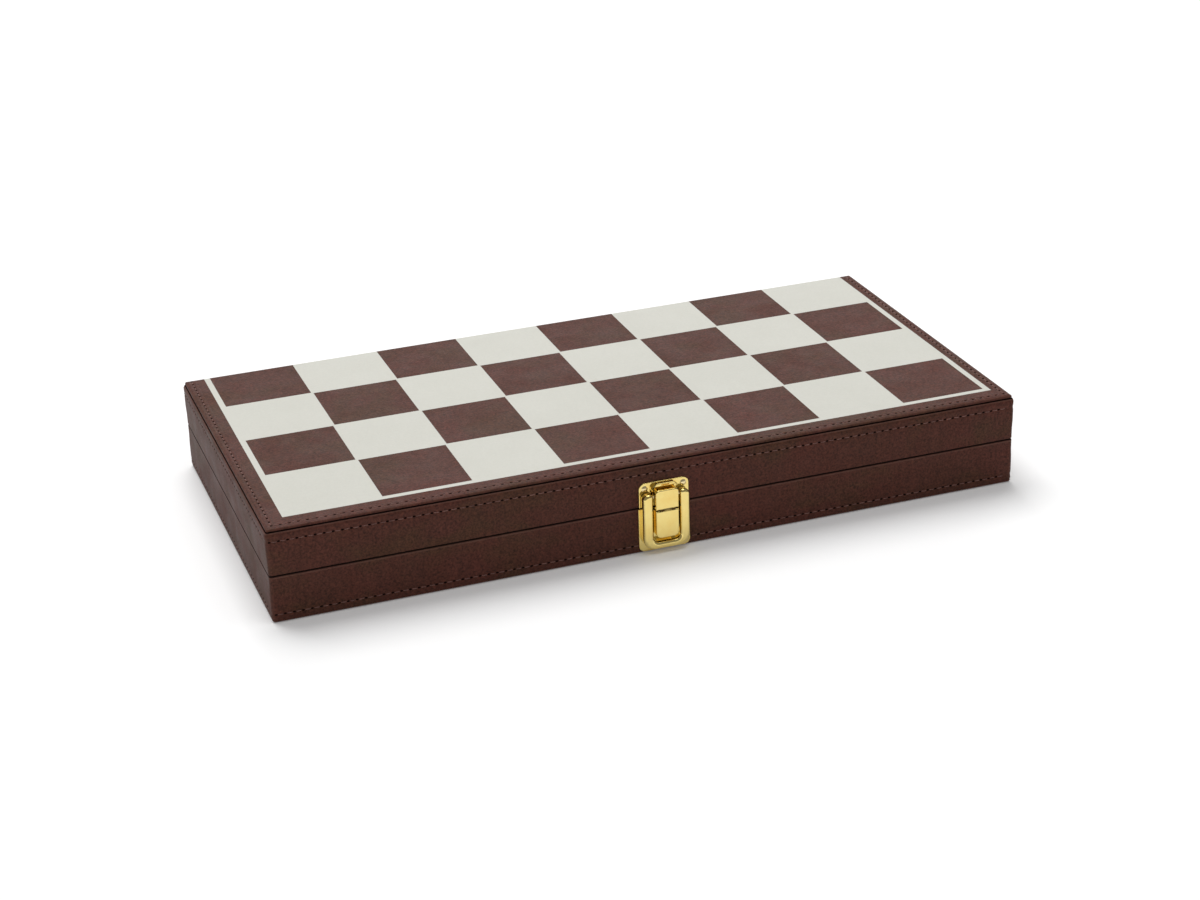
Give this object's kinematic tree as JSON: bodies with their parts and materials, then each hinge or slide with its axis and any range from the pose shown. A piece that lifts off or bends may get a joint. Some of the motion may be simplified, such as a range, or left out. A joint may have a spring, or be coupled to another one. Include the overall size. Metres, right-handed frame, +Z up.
{
  "type": "backgammon set",
  "caption": "Folding games case in stitched leatherette: backgammon board with checkers, dice and cups inside, chequered board outside, hinged along the back, gold draw latch.",
  "frame": {"origin": "middle of the closed case's outline, on its underside", "axes": "+X along the case to its right seen from the latch, -Y towards the latch, +Z up"},
  "size_m": [0.38, 0.1982, 0.047],
  "materials": {
    "fibreboard": "sawn fibreboard, hidden under the leatherette",
    "brown_leatherette": "satin grained leatherette",
    "cream_print": "satin leatherette inlay",
    "playfield_leatherette": "matt grained leatherette",
    "point_cream": "satin leatherette inlay",
    "point_tan": "satin leatherette inlay",
    "hinge_brass": "polished plate",
    "screw_brass": "polished plate",
    "latch_gold": "bright gold plate",
    "checker_cream": "polished moulding",
    "checker_brown": "polished moulding",
    "die_cream": "polished moulding",
    "die_brown": "polished moulding",
    "cup_leatherette": "satin grained leatherette",
    "cup_felt": "felt lining"
  },
  "bodies": {
    "base": {"base_front_rail": "fibreboard", "base_back_rail": "fibreboard", "base_left_rail": "fibreboard", "base_right_rail": "fibreboard", "base_side_cover": "brown_leatherette", "base_board": "fibreboard", "base_board_cover": "brown_leatherette", "base_chess_field": "cream_print", "base_playfield": "playfield_leatherette", "base_points_light": "point_cream", "base_points_dark": "point_tan", "hinge_left_base_leaf": "hinge_brass", "hinge_right_base_leaf": "hinge_brass", "hinge_left_pin": "hinge_brass", "hinge_right_pin": "hinge_brass", "hinge_base_screws": "screw_brass", "latch_base_plate": "latch_gold", "latch_base_screws": "screw_brass", "latch_frame": "latch_gold", "lever_pin": "screw_brass", "checkers_light_1": "checker_cream", "checkers_dark_1": "checker_brown", "checkers_light_2": "checker_cream", "checkers_dark_2": "checker_brown", "checkers_light_3": "checker_cream", "checkers_dark_3": "checker_brown", "checkers_light_4": "checker_cream", "checkers_dark_4": "checker_brown", "checkers_light_5": "checker_cream", "checkers_dark_5": "checker_brown", "die_light_1": "die_cream", "die_dark_1": "die_brown", "dice_cup_1": "cup_leatherette", "cup_felt_1": "cup_felt", "die_light_2": "die_cream", "die_dark_2": "die_brown", "dice_cup_2": "cup_leatherette", "cup_felt_2": "cup_felt", "doubling_cube": "die_cream"},
    "lid": {"lid_front_rail": "fibreboard", "lid_back_rail": "fibreboard", "lid_left_rail": "fibreboard", "lid_right_rail": "fibreboard", "lid_side_cover": "brown_leatherette", "lid_board": "fibreboard", "lid_board_cover": "brown_leatherette", "lid_chess_field": "cream_print", "lid_playfield": "playfield_leatherette", "lid_points_light": "point_cream", "lid_points_dark": "point_tan", "hinge_left_lid_leaf": "hinge_brass", "hinge_right_lid_leaf": "hinge_brass", "hinge_lid_screws": "screw_brass", "catch_plate": "latch_gold", "catch_plate_screws": "screw_brass"},
    "latch_lever": {"latch_lever": "latch_gold", "hook_pin": "screw_brass"},
    "draw_hook": {"draw_hook": "latch_gold"}
  },
  "joints": [
    {"name": "lid_hinge", "type": "hinge", "parent": "base", "child": "lid", "pos_m": [0, 0.0954, 0.0235], "axis": [-1, 0, 0], "range_deg": [0, 180]},
    {"name": "latch_lever_pivot", "type": "hinge", "parent": "base", "child": "latch_lever", "pos_m": [0.0023, -0.098, 0.0295], "axis": [-1, 0, 0], "range_deg": [0, 60]},
    {"name": "draw_hook_pivot", "type": "hinge", "parent": "latch_lever", "child": "draw_hook", "pos_m": [0.0023, -0.0998, 0.0229], "axis": [-1, 0, 0], "range_deg": [-75, 0]}
  ],
  "couplings": [
    {"joint": "draw_hook_pivot", "follows": "latch_lever_pivot", "ratio": -1.25}
  ]
}
